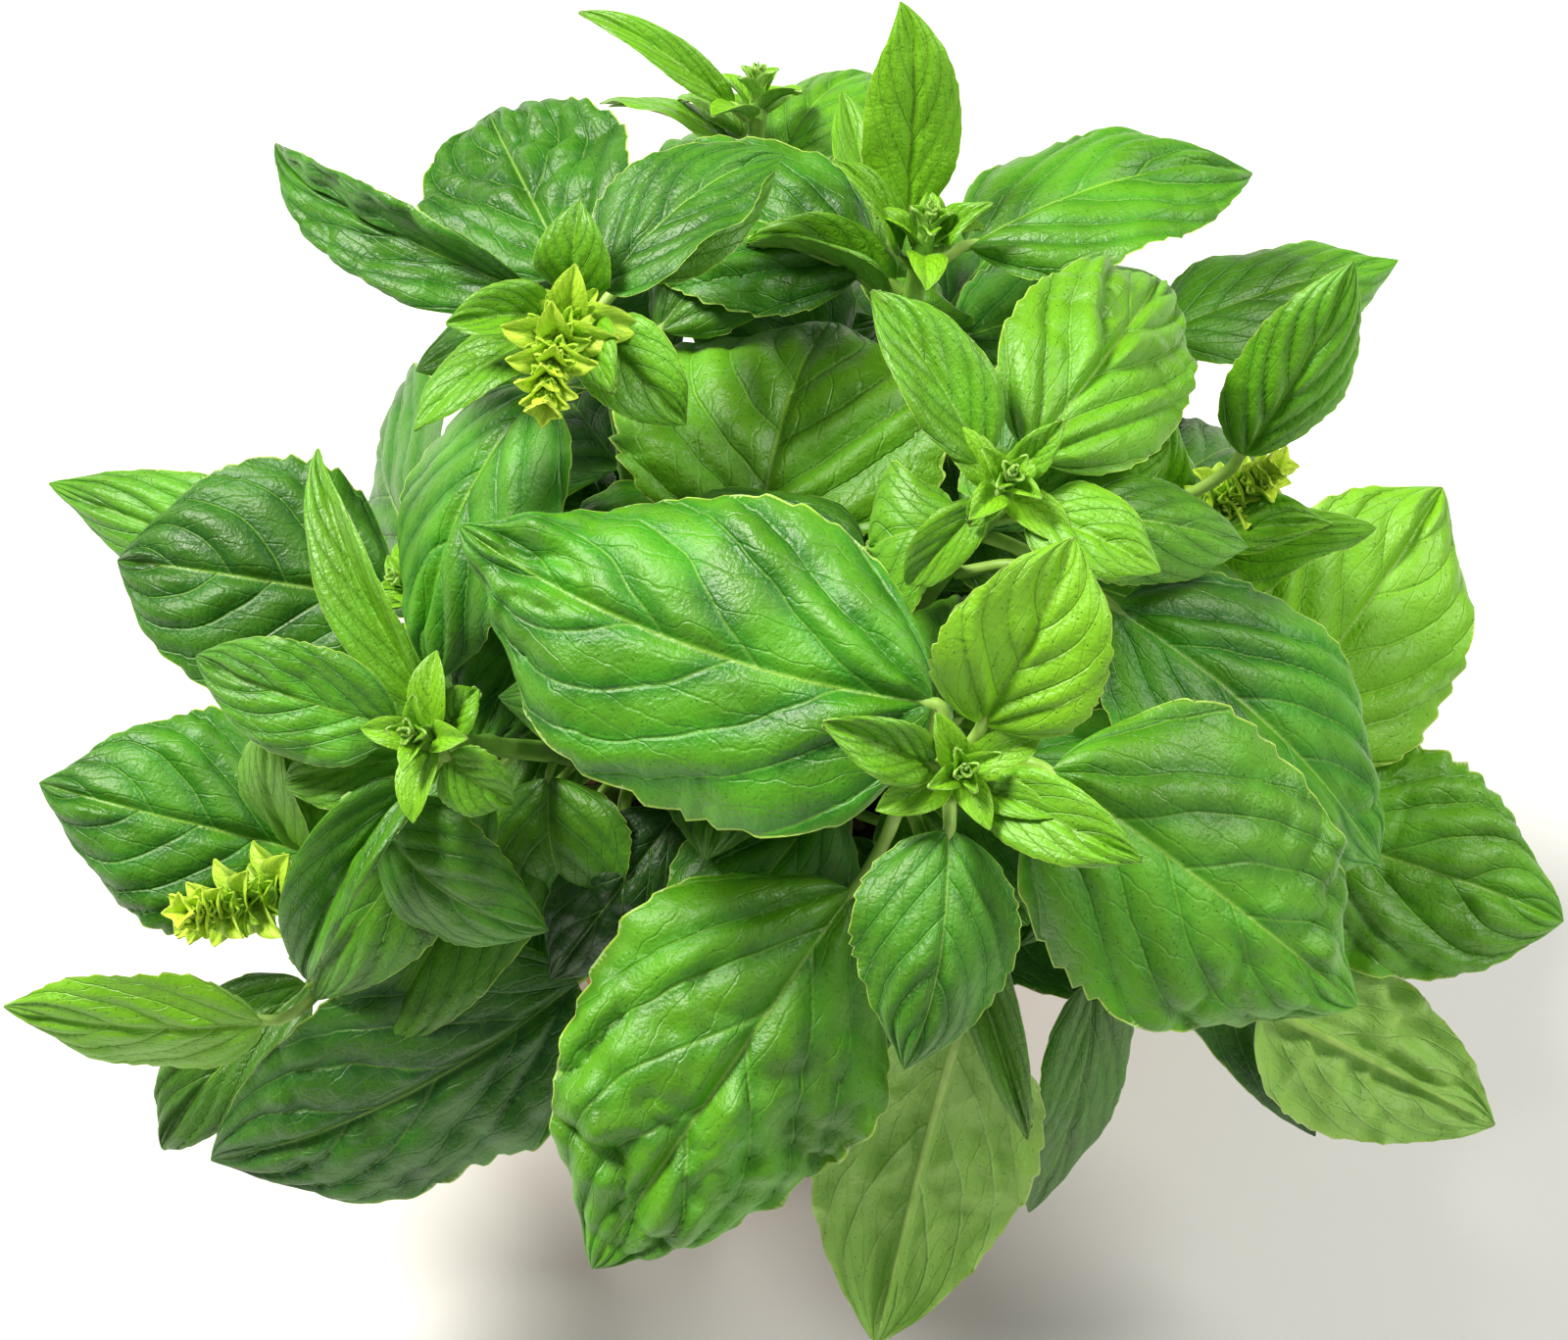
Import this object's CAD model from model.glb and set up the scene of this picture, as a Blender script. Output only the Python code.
import math

import bmesh
import bpy
import numpy as np
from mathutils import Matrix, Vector
from mathutils.bvhtree import BVHTree


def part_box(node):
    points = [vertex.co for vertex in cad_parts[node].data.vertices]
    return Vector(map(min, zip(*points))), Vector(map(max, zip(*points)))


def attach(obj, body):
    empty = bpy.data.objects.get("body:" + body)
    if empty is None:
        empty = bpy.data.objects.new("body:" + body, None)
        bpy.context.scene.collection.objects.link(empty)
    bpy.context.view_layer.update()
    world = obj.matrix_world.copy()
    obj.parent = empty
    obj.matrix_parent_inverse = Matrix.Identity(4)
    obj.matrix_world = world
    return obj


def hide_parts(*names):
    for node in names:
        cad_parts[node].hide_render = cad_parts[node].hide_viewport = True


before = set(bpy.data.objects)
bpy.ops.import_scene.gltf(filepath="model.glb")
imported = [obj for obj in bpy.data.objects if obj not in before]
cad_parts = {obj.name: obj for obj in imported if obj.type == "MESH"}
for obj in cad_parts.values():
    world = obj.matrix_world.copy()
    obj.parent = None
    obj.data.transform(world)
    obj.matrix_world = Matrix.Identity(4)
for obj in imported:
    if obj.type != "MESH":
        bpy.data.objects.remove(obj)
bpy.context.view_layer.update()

MM = 0.001


# ---- Studio ---------------------------------------------------------------------------------
# A plain pale table top, a large soft window light from the back left, a smaller one at the
# right, a weak fill from the front, and a pale room. The camera looks down from the front.

def linear(hex_colour):
    """An sRGB hex colour as linear red, green, blue and alpha."""
    channels = [int(hex_colour[i:i + 2], 16) / 255 for i in (1, 3, 5)]
    return (*(c / 12.92 if c <= 0.04045 else ((c + 0.055) / 1.055) ** 2.4 for c in channels), 1.0)


def add_node(material, kind, inputs=(), **settings):
    """One shader node with its settings and links. Its inputs are in the order of its sockets, or
    by name or number, and each is a value, a hex colour, an output, or a node's first output."""
    node = material.node_tree.nodes.new("ShaderNode" + kind)
    for key, value in settings.items():
        setattr(node, key, value)
    for key, value in (inputs.items() if isinstance(inputs, dict) else enumerate(inputs)):
        if isinstance(value, bpy.types.Node):
            value = value.outputs[0]
        if isinstance(value, bpy.types.NodeSocket):
            material.node_tree.links.new(value, node.inputs[key])
        else:
            node.inputs[key].default_value = linear(value) if isinstance(value, str) else value
    return node


def new_material(name):
    material = bpy.data.materials.new(name)
    material.use_nodes = True
    material.node_tree.nodes.clear()
    return material


def finish_material(material, inputs):
    """Adds the principled shader with these inputs, and joins it to the material's output."""
    add_node(material, "OutputMaterial", (add_node(material, "BsdfPrincipled", inputs),))


scene = bpy.context.scene
scene.view_settings.view_transform = "Standard"

LOOK_AT = Vector((0, 0, 97)) * MM
CAMERA_DISTANCE = 700 * MM
CAMERA_HEIGHT_ANGLE = math.radians(58)
camera_data = bpy.data.cameras.new("camera")
camera_data.sensor_width = 36
camera_data.lens = 102.4
camera = bpy.data.objects.new("camera", camera_data)
scene.collection.objects.link(camera)
backward = Vector((0, -math.cos(CAMERA_HEIGHT_ANGLE), math.sin(CAMERA_HEIGHT_ANGLE)))
camera.location = LOOK_AT + backward * CAMERA_DISTANCE
camera.rotation_euler = (-backward).to_track_quat("-Z", "Y").to_euler()
scene.camera = camera


def add_light(name, place, size, watts, colour):
    data = bpy.data.lights.new(name, "AREA")
    data.shape = "DISK"
    data.size = size
    data.energy = watts
    data.color = linear(colour)[:3]
    light = bpy.data.objects.new(name, data)
    scene.collection.objects.link(light)
    light.location = place
    light.rotation_euler = (LOOK_AT - Vector(place)).to_track_quat("-Z", "Y").to_euler()


add_light("window_light", (-0.7, 0.3, 1.25), 0.45, 34, "#fffcf2")
add_light("side_light", (0.85, 0.15, 1.1), 0.4, 11, "#fffdf6")
add_light("fill_light", (0.8, -0.9, 1.1), 1.2, 4, "#fbfdff")

world = bpy.data.worlds.new("room")
world.use_nodes = True
world.node_tree.nodes["Background"].inputs["Color"].default_value = linear("#e9eef2")
world.node_tree.nodes["Background"].inputs["Strength"].default_value = 0.22
scene.world = world

bpy.ops.object.select_all(action="DESELECT")
bpy.ops.mesh.primitive_plane_add(size=6, location=(0, 0, 0))
floor = bpy.context.object
floor.name = "table_top"
painted_board = new_material("painted_board")
finish_material(painted_board, {"Base Color": "#eeedeb", "Roughness": 0.7})
floor.data.materials.append(painted_board)


# ---- Pot ------------------------------------------------------------------------------------
# Thrown clay, unglazed: a tapered wall under a thick collar, three drain holes in the floor.
# It is turned ring by ring from its foot up, over the rim and down the inside.

POT_FOOT_RADIUS = 33
POT_MOUTH_RADIUS = 46
POT_WALL = 4.5
POT_FLOOR = 6
COLLAR_HEIGHT = 20
COLLAR_STEP = 3
RIM_ROUND = 1.6
DRAIN_RADIUS = 4.5
DRAIN_CIRCLE = 17
THROWING_RING = 0.14
WALL_STOPS, COLLAR_STOPS, INSIDE_STOPS, ROUND_STOPS = 46, 12, 30, 6
pot_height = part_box("pot")[1].z / MM


def wall_radius(height):
    return POT_FOOT_RADIUS + (POT_MOUTH_RADIUS - POT_FOOT_RADIUS) * height / pot_height


def throwing_lines(height):
    """The fingers' slight grooves in a thrown wall."""
    return THROWING_RING * (math.sin(height * 1.9) + 0.6 * math.sin(height * 3.7 + 1))


def rounded(centre_radius, centre_height, start_degrees, end_degrees):
    """Stops round a rounded edge, in millimetres."""
    stops = []
    for step in range(ROUND_STOPS + 1):
        angle = math.radians(start_degrees + (end_degrees - start_degrees) * step / ROUND_STOPS)
        stops.append((centre_radius + RIM_ROUND * math.cos(angle),
                      centre_height + RIM_ROUND * math.sin(angle)))
    return stops


collar_foot = pot_height - COLLAR_HEIGHT
pot_stops = rounded(POT_FOOT_RADIUS - RIM_ROUND, RIM_ROUND, -90, 0)
for step in range(1, WALL_STOPS):
    height = RIM_ROUND + (collar_foot - 1 - RIM_ROUND) * step / (WALL_STOPS - 1)
    pot_stops.append((wall_radius(height) + throwing_lines(height), height))
collar_under = wall_radius(collar_foot) + COLLAR_STEP - RIM_ROUND
pot_stops += rounded(collar_under, collar_foot + RIM_ROUND, -90, 0)
for step in range(1, COLLAR_STOPS):
    height = collar_foot + RIM_ROUND + (COLLAR_HEIGHT - 2 * RIM_ROUND) * step / COLLAR_STOPS
    pot_stops.append((wall_radius(height) + COLLAR_STEP + 0.5 * throwing_lines(height), height))
pot_stops += rounded(POT_MOUTH_RADIUS + COLLAR_STEP - RIM_ROUND, pot_height - RIM_ROUND, 0, 90)
pot_stops += rounded(POT_MOUTH_RADIUS - POT_WALL + RIM_ROUND, pot_height - RIM_ROUND, 90, 180)
inside_depth = pot_height - 2 * RIM_ROUND - POT_FLOOR
for step in range(1, INSIDE_STOPS):
    height = pot_height - RIM_ROUND - inside_depth * step / INSIDE_STOPS
    pot_stops.append((wall_radius(height) - POT_WALL + throwing_lines(height + 2), height))
inner_foot = wall_radius(POT_FLOOR) - POT_WALL - RIM_ROUND
pot_stops += rounded(inner_foot, POT_FLOOR + RIM_ROUND, 0, -90)

bpy.ops.object.select_all(action="DESELECT")
bpy.ops.mesh.primitive_circle_add(vertices=144, radius=pot_stops[0][0] * MM, fill_type="NGON")
pot = bpy.context.object
pot.name = "pot_clay"
bpy.ops.object.mode_set(mode="EDIT")
bpy.ops.mesh.select_all(action="SELECT")
for before, after in zip(pot_stops, pot_stops[1:]):
    ratio = after[0] / before[0]
    rise = (0, 0, (after[1] - before[1]) * MM)
    bpy.ops.mesh.extrude_region_move(TRANSFORM_OT_translate={"value": rise})
    bpy.ops.transform.resize(value=(ratio, ratio, 1))
bpy.ops.mesh.select_all(action="SELECT")
bpy.ops.mesh.normals_make_consistent(inside=False)
bpy.ops.object.mode_set(mode="OBJECT")
for hole in range(3):
    angle = 2 * math.pi * hole / 3
    place = (DRAIN_CIRCLE * math.cos(angle) * MM, DRAIN_CIRCLE * math.sin(angle) * MM, 3 * MM)
    bpy.ops.mesh.primitive_cylinder_add(vertices=40, radius=DRAIN_RADIUS * MM, depth=20 * MM,
                                        location=place)
    drill = bpy.context.object
    bpy.context.view_layer.objects.active = pot
    bpy.ops.object.modifier_add(type="BOOLEAN")
    pot.modifiers[-1].operation = "DIFFERENCE"
    pot.modifiers[-1].solver = "EXACT"
    pot.modifiers[-1].object = drill
    bpy.ops.object.modifier_apply(modifier=pot.modifiers[-1].name)
    bpy.data.objects.remove(drill, do_unlink=True)
pot.select_set(True)
bpy.context.view_layer.objects.active = pot
bpy.ops.object.shade_smooth_by_angle(angle=math.radians(40))


def lay_colours(material, colour, layers):
    """Lays colours over a first one. A layer is what its strength follows, the limits between
    which that goes from one share to another, or None to take it as it is, and its colour."""
    for amount, limits, over in layers:
        if limits:
            amount = add_node(material, "MapRange", (amount, *limits),
                              interpolation_type="SMOOTHSTEP")
        mix = add_node(material, "Mix", {0: amount, 6: colour, 7: over}, data_type="RGBA")
        colour = mix.outputs[2]
    return colour


# Terracotta: warm orange clay, with paler firing clouds, a bloom of lime and darker grit.
terracotta = new_material("terracotta")
clay_place = add_node(terracotta, "TexCoord").outputs["Object"]
clouds = add_node(terracotta, "TexNoise", {
    "Vector": clay_place, "Scale": 1 / (30 * MM), "Detail": 4.0})
bloom = add_node(terracotta, "TexNoise", {
    "Vector": clay_place, "Scale": 1 / (11 * MM), "Detail": 6.0, "Roughness": 0.65})
grit = add_node(terracotta, "TexNoise", {
    "Vector": clay_place, "Scale": 1 / (0.6 * MM), "Detail": 3.0})
faint_grit = add_node(terracotta, "Math", (grit, 0.25), operation="MULTIPLY")
finish_material(terracotta, {
    "Base Color": lay_colours(terracotta, "#b5673f", (
        (clouds, (0.35, 0.65, 0.0, 1.0), "#c67a4e"), (bloom, (0.52, 0.75, 0.0, 0.45), "#d9b79c"),
        (faint_grit, None, "#8a4a2c"))),
    "Roughness": 0.86,
    "Normal": add_node(terracotta, "Bump", {
        "Strength": 0.5, "Distance": 0.25 * MM, "Height": grit})})
pot.data.materials.append(terracotta)
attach(pot, "root")
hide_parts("pot")


# ---- Compost --------------------------------------------------------------------------------
# Dark peaty compost that fills the pot to below its rim. Its top is broken into lumps and
# crumbs, with paler bark chips and white grit lying on it.

SOIL_TOP = 69
SOIL_FOOT = 7
CRUMB_COUNT = 900
SOIL_EDGE = (POT_MOUTH_RADIUS - POT_WALL) - 2.4


def noise_field(seed, along, across, cell):
    """Smooth hills and hollows from -1 to 1; cell is their size on the same scale as the map."""
    table = np.random.default_rng(seed).uniform(-1, 1, (64, 64))
    x, y = np.asarray(along) / cell + 7, np.asarray(across) / cell + 23
    column, row = np.floor(x).astype(int), np.floor(y).astype(int)
    fx, fy = x - column, y - row
    fx, fy = fx * fx * (3 - 2 * fx), fy * fy * (3 - 2 * fy)
    corner = [[table[(column + i) % 64, (row + j) % 64] for j in (0, 1)] for i in (0, 1)]
    low = corner[0][0] * (1 - fx) + corner[1][0] * fx
    high = corner[0][1] * (1 - fx) + corner[1][1] * fx
    return low * (1 - fy) + high * fy


def soil_height(x, y):
    """Millimetres over the pot's foot."""
    lumps = 1.1 * noise_field(1, x, y, 13) + 0.8 * noise_field(2, x, y, 5.5)
    crumbs = 0.55 * np.abs(noise_field(3, x, y, 2.1)) + 0.25 * noise_field(4, x, y, 0.9)
    return SOIL_TOP - 0.4 + lumps + crumbs


def build_mesh(name, corners, faces, materials, material_index=None):
    """A smooth object straight from its corners and faces, its faces turned outward, with a
    crisp edge where two of its materials meet."""
    mesh = bpy.data.meshes.new(name)
    mesh.from_pydata(np.asarray(corners).tolist(), [], faces)
    for material in materials:
        mesh.materials.append(material)
    mesh.polygons.foreach_set("material_index", material_index or [0] * len(faces))
    mesh.polygons.foreach_set("use_smooth", [True] * len(faces))
    piece = bpy.data.objects.new(name, mesh)
    scene.collection.objects.link(piece)
    body = bmesh.new()
    body.from_mesh(mesh)
    bmesh.ops.recalc_face_normals(body, faces=body.faces)
    for edge in body.edges:
        if len({face.material_index for face in edge.link_faces}) > 1:
            edge.smooth = False
    body.to_mesh(mesh)
    body.free()
    return piece


def rings_to_body(rings, first, last):
    """Corners and faces of a closed skin over rings of equal count, with a point at each end."""
    rings = np.asarray(rings)
    rows, count = rings.shape[:2]
    corners = np.concatenate([rings.reshape(-1, 3), [first, last]])
    faces = []
    for row in range(rows - 1):
        for side in range(count):
            here, beside = row * count + side, row * count + (side + 1) % count
            faces.append([here, beside, beside + count, here + count])
    top = (rows - 1) * count
    for side in range(count):
        beside = (side + 1) % count
        faces.append([rows * count, beside, side])
        faces.append([rows * count + 1, top + side, top + beside])
    return corners, faces


soil_angles = np.linspace(0, 2 * math.pi, 150, endpoint=False)
soil_rings = []
for radius, height in ((15, SOIL_FOOT), (26, SOIL_FOOT), (30, SOIL_FOOT + 1.5), (SOIL_EDGE - 3, 50),
                       (SOIL_EDGE - 0.6, SOIL_TOP - 4)):
    soil_rings.append(np.stack([radius * np.cos(soil_angles), radius * np.sin(soil_angles),
                                np.full(len(soil_angles), float(height))], -1))
for radius in np.linspace(SOIL_EDGE, 0.5, 66):
    x, y = radius * np.cos(soil_angles), radius * np.sin(soil_angles)
    soil_rings.append(np.stack([x, y, soil_height(x, y)], -1))
soil_middle = (0, 0, float(soil_height(0, 0)))
soil_corners, soil_faces = rings_to_body(soil_rings, (0, 0, SOIL_FOOT), soil_middle)

# Loose crumbs: small angular lumps strewn over the top.
soil_random = np.random.default_rng(12)
CRUMB = np.array([(1, 0, 0), (-1, 0, 0), (0, 1, 0), (0, -1, 0), (0, 0, 1), (0, 0, -1)])
CRUMB_FACES = [(0, 2, 4), (2, 1, 4), (1, 3, 4), (3, 0, 4),
               (2, 0, 5), (1, 2, 5), (3, 1, 5), (0, 3, 5)]
crumb_corners, crumb_faces = [], []
for crumb in range(CRUMB_COUNT):
    radius = (SOIL_EDGE - 1.5) * math.sqrt(soil_random.uniform())
    angle = soil_random.uniform(0, 2 * math.pi)
    x, y = radius * math.cos(angle), radius * math.sin(angle)
    size = soil_random.uniform(0.35, 1.3)
    shape = CRUMB * soil_random.uniform(0.5, 1.0, (6, 1)) * size * soil_random.uniform(0.6, 1.2, 3)
    turn = soil_random.uniform(0, math.pi)
    spin = np.array([(math.cos(turn), math.sin(turn), 0), (-math.sin(turn), math.cos(turn), 0),
                     (0, 0, 1)])
    first = len(soil_corners) + 6 * crumb
    crumb_corners.append(shape @ spin + (x, y, soil_height(x, y) + 0.3 * size))
    crumb_faces += [[first + corner for corner in face] for face in CRUMB_FACES]

# Compost: near-black peat, with brown fibres, paler chips and a few white grains.
peat = new_material("peat_compost")
peat_place = add_node(peat, "TexCoord").outputs["Object"]
peat_noise = add_node(peat, "TexNoise", {
    "Vector": peat_place, "Scale": 1 / (4 * MM), "Detail": 5.0, "Roughness": 0.7})
peat_chips = add_node(peat, "TexVoronoi", {"Vector": peat_place, "Scale": 1 / (1.7 * MM)})
chip = add_node(peat, "SeparateColor", (peat_chips.outputs["Color"],))
finish_material(peat, {
    "Base Color": lay_colours(peat, "#17100b", (
        (peat_noise, (0.35, 0.7, 0.0, 1.0), "#3a291c"),
        (chip.outputs[0], (0.86, 0.9, 0.0, 1.0), "#6a4a30"),
        (chip.outputs[1], (0.965, 0.975, 0.0, 1.0), "#c9c2b4"))),
    "Roughness": 0.95,
    "Normal": add_node(peat, "Bump", {
        "Strength": 0.8, "Distance": 0.4 * MM, "Height": peat_noise})})
compost = build_mesh("compost_plug", np.concatenate([soil_corners, *crumb_corners]) * MM,
                     soil_faces + crumb_faces, [peat])
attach(compost, "root")
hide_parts("soil")


# ---- Stems ----------------------------------------------------------------------------------
# Square, soft green stems with a groove down each side. Each follows its own centre line in the
# frame and swells where a pair of leaves joins it.

STEM_SQUARENESS = 0.11
STEM_STEPS = 90


def unit(vectors):
    vectors = np.asarray(vectors, float)
    return vectors / np.maximum(np.linalg.norm(vectors, axis=-1, keepdims=True), 1e-12)


def layers_of(node):
    """A solid grown in rings: its first end point, its rings of eight corners, its last."""
    body = bmesh.new()
    body.from_mesh(node.data)
    bmesh.ops.remove_doubles(body, verts=body.verts, dist=0.005 * MM)
    ends = [corner for corner in body.verts if len(corner.link_edges) == 8]
    seen = {ends[0]}
    layer = [ends[0]]
    layers = []
    while layer:
        layers.append(np.array([corner.co for corner in layer]))
        reached = {edge.other_vert(corner) for corner in layer for edge in corner.link_edges}
        layer = sorted(reached - seen, key=lambda corner: corner.index)
        seen.update(layer)
    body.free()
    return layers


def polynomial(coefficients, along):
    powers = np.asarray(along)[:, None] ** np.arange(len(coefficients) - 1, -1, -1)
    return powers @ coefficients


def along_points(points):
    """How far along a path each of its points lies, from 0 to 1, and the path's length."""
    steps = np.linalg.norm(np.diff(points, axis=0), axis=1)
    reach = np.concatenate([[0], np.cumsum(steps)])
    return reach / reach[-1], reach[-1]


def frames_along(points):
    """Two directions square to a path at each of its points, carried along with no spin."""
    forward = unit(np.gradient(points, axis=0))
    start = np.array((0.0, 0.0, 1.0)) if abs(forward[0][2]) < 0.8 else np.array((1.0, 0.0, 0.0))
    across = [unit(np.cross(start, forward[0]))]
    for way in forward[1:]:
        carried = across[-1] - way * (across[-1] @ way)
        across.append(unit(carried))
    across = np.array(across)
    return across, np.cross(forward, across)


def rod(points, radii, sides, squareness=0.0):
    """Corners and faces of a closed rod along a path, round or somewhat square."""
    points = np.asarray(points)
    across, other = frames_along(points)
    angles = np.linspace(0, 2 * math.pi, sides, endpoint=False)
    reach = np.asarray(radii)[:, None] * (1 - squareness * np.cos(4 * angles))[None]
    rings = (points[:, None] + across[:, None] * (reach * np.cos(angles))[..., None]
             + other[:, None] * (reach * np.sin(angles))[..., None])
    return rings_to_body(rings, points[0], points[-1])


def stem_line(node):
    """A stem's centre line, foot to tip, its thickness there, and where its head starts."""
    layers = layers_of(node)
    if layers[0][0][2] > layers[-1][0][2]:
        layers = layers[::-1]
    centres = np.array([layer.mean(0) for layer in layers])
    reach = [np.linalg.norm(layer - layer.mean(0), axis=1).mean() for layer in layers[1:-4]]
    places, length = along_points(centres)
    curve = np.polyfit(places, centres, 6)
    along = np.linspace(0, 1, STEM_STEPS)
    radii = np.interp(along, places[1:-4], reach)
    return {"points": polynomial(curve, along), "radii": radii, "length": length,
            "neck": places[-5], "curve": curve}


stems = {}
for name in sorted(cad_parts):
    if name.startswith("stem_"):
        stems[name[len("stem_"):]] = stem_line(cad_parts[name])

# Where each leaf's stalk leaves its stem: the solid's end that lies nearer that stem.
leaf_names = sorted(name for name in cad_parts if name.startswith("leaf_"))
leaf_layers = {}
joints = {name: [] for name in stems}
for leaf_name in leaf_names:
    stem_name = leaf_name[len("leaf_"):].rsplit("_", 1)[0]
    points = stems[stem_name]["points"]
    layers = layers_of(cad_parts[leaf_name])
    gaps = [np.linalg.norm(points - layers[end][0], axis=1) for end in (0, -1)]
    if gaps[0].min() > gaps[1].min():
        layers = layers[::-1]
        gaps = gaps[::-1]
    leaf_layers[leaf_name] = layers
    joints[stem_name].append(int(gaps[0].argmin()))


# Soft green stem tissue with fine lengthwise ribs, browner towards the foot.
stem_tissue = new_material("green_stem_tissue")
stem_spot = add_node(stem_tissue, "TexCoord").outputs["Object"]
stem_blotch = add_node(stem_tissue, "TexNoise", {
    "Vector": stem_spot, "Scale": 1 / (9 * MM), "Detail": 3.0})
stretched = add_node(stem_tissue, "Mapping", {"Vector": stem_spot, "Scale": (1.0, 1.0, 0.12)})
stem_ribs = add_node(stem_tissue, "TexNoise", {
    "Vector": stretched, "Scale": 1 / (0.45 * MM), "Detail": 2.0})
stem_height = add_node(stem_tissue, "SeparateXYZ", (stem_spot,))
faint_ribs = add_node(stem_tissue, "Math", (stem_ribs, 0.22), operation="MULTIPLY")
finish_material(stem_tissue, {
    "Base Color": lay_colours(stem_tissue, "#4c7f1c", (
        (stem_blotch, (0.35, 0.65, 0.0, 1.0), "#74a338"),
        (stem_height.outputs[2], (70 * MM, 105 * MM, 0.6, 0.0), "#8a8348"),
        (faint_ribs, None, "#a3c763"))),
    "Roughness": 0.5,
    "Normal": add_node(stem_tissue, "Bump", {
        "Strength": 0.5, "Distance": 0.2 * MM, "Height": stem_ribs}),
    "Subsurface Weight": 0.15, "Subsurface Radius": (0.6, 1.0, 0.3),
    "Subsurface Scale": 1.5 * MM})

for name, stem in stems.items():
    along = np.linspace(0, 1, STEM_STEPS)
    radii = stem["radii"].copy()
    for joint in joints[name]:
        spacing = (along - along[joint]) * stem["length"]
        radii += 0.35 * radii[joint] * np.exp(-(spacing / (2.2 * MM)) ** 2)
    radii *= np.clip((1 - along) / (1 - stem["neck"]) * 1.6, 0.12, 1)
    corners, faces = rod(stem["points"], radii, 20, STEM_SQUARENESS)
    piece = build_mesh("stem_" + name + "_tissue", corners, faces, [stem_tissue])
    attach(piece, "root")
    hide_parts("stem_" + name)


# ---- Leaves ---------------------------------------------------------------------------------
# Thin, waxy, slightly translucent blades. Side veins leave the midrib and curve to the point,
# and the tissue between them swells up into cushions. The frame gives where each leaf hangs.

# Side veins to a side, how far one side lags the other, and how the veins lean, bend and fan.
VEIN_COUNT, VEIN_STAGGER = 4.8, 0.06
VEIN_SLANT, VEIN_CURVE, VEIN_FAN = 0.42, 0.2, 0.88
OUTER_VEINS = 0.55
RUNG_COUNT = 5.5
TEETH = 11
BLADE_THICKNESS = 0.35 * MM
# The middle of the plant, from which the upper sides of leaves face away.
HEART = np.array((0, 8, 84)) * MM
# Where a coarse blade is measured: across from edge to edge, and along from stalk to tip.
COLUMNS = np.array((-1, -0.5, 0, 0.5, 1))
ROWS = np.array((0.05, 0.14, 0.27, 0.41, 0.56, 0.71, 0.85, 0.95))
TURNED_OVER = ("leaf_front_9", "leaf_right_low_3")


def vein_phase(along, across):
    """Counts side veins from the stalk: at a whole number there is a vein."""
    outward = np.abs(across)
    stagger = np.where(across > 0, VEIN_STAGGER, 0)
    start = along + stagger - VEIN_SLANT * outward - VEIN_CURVE * outward ** 2
    return VEIN_COUNT * np.where(start > 0, 1, -OUTER_VEINS) * np.abs(start) ** VEIN_FAN


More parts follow.
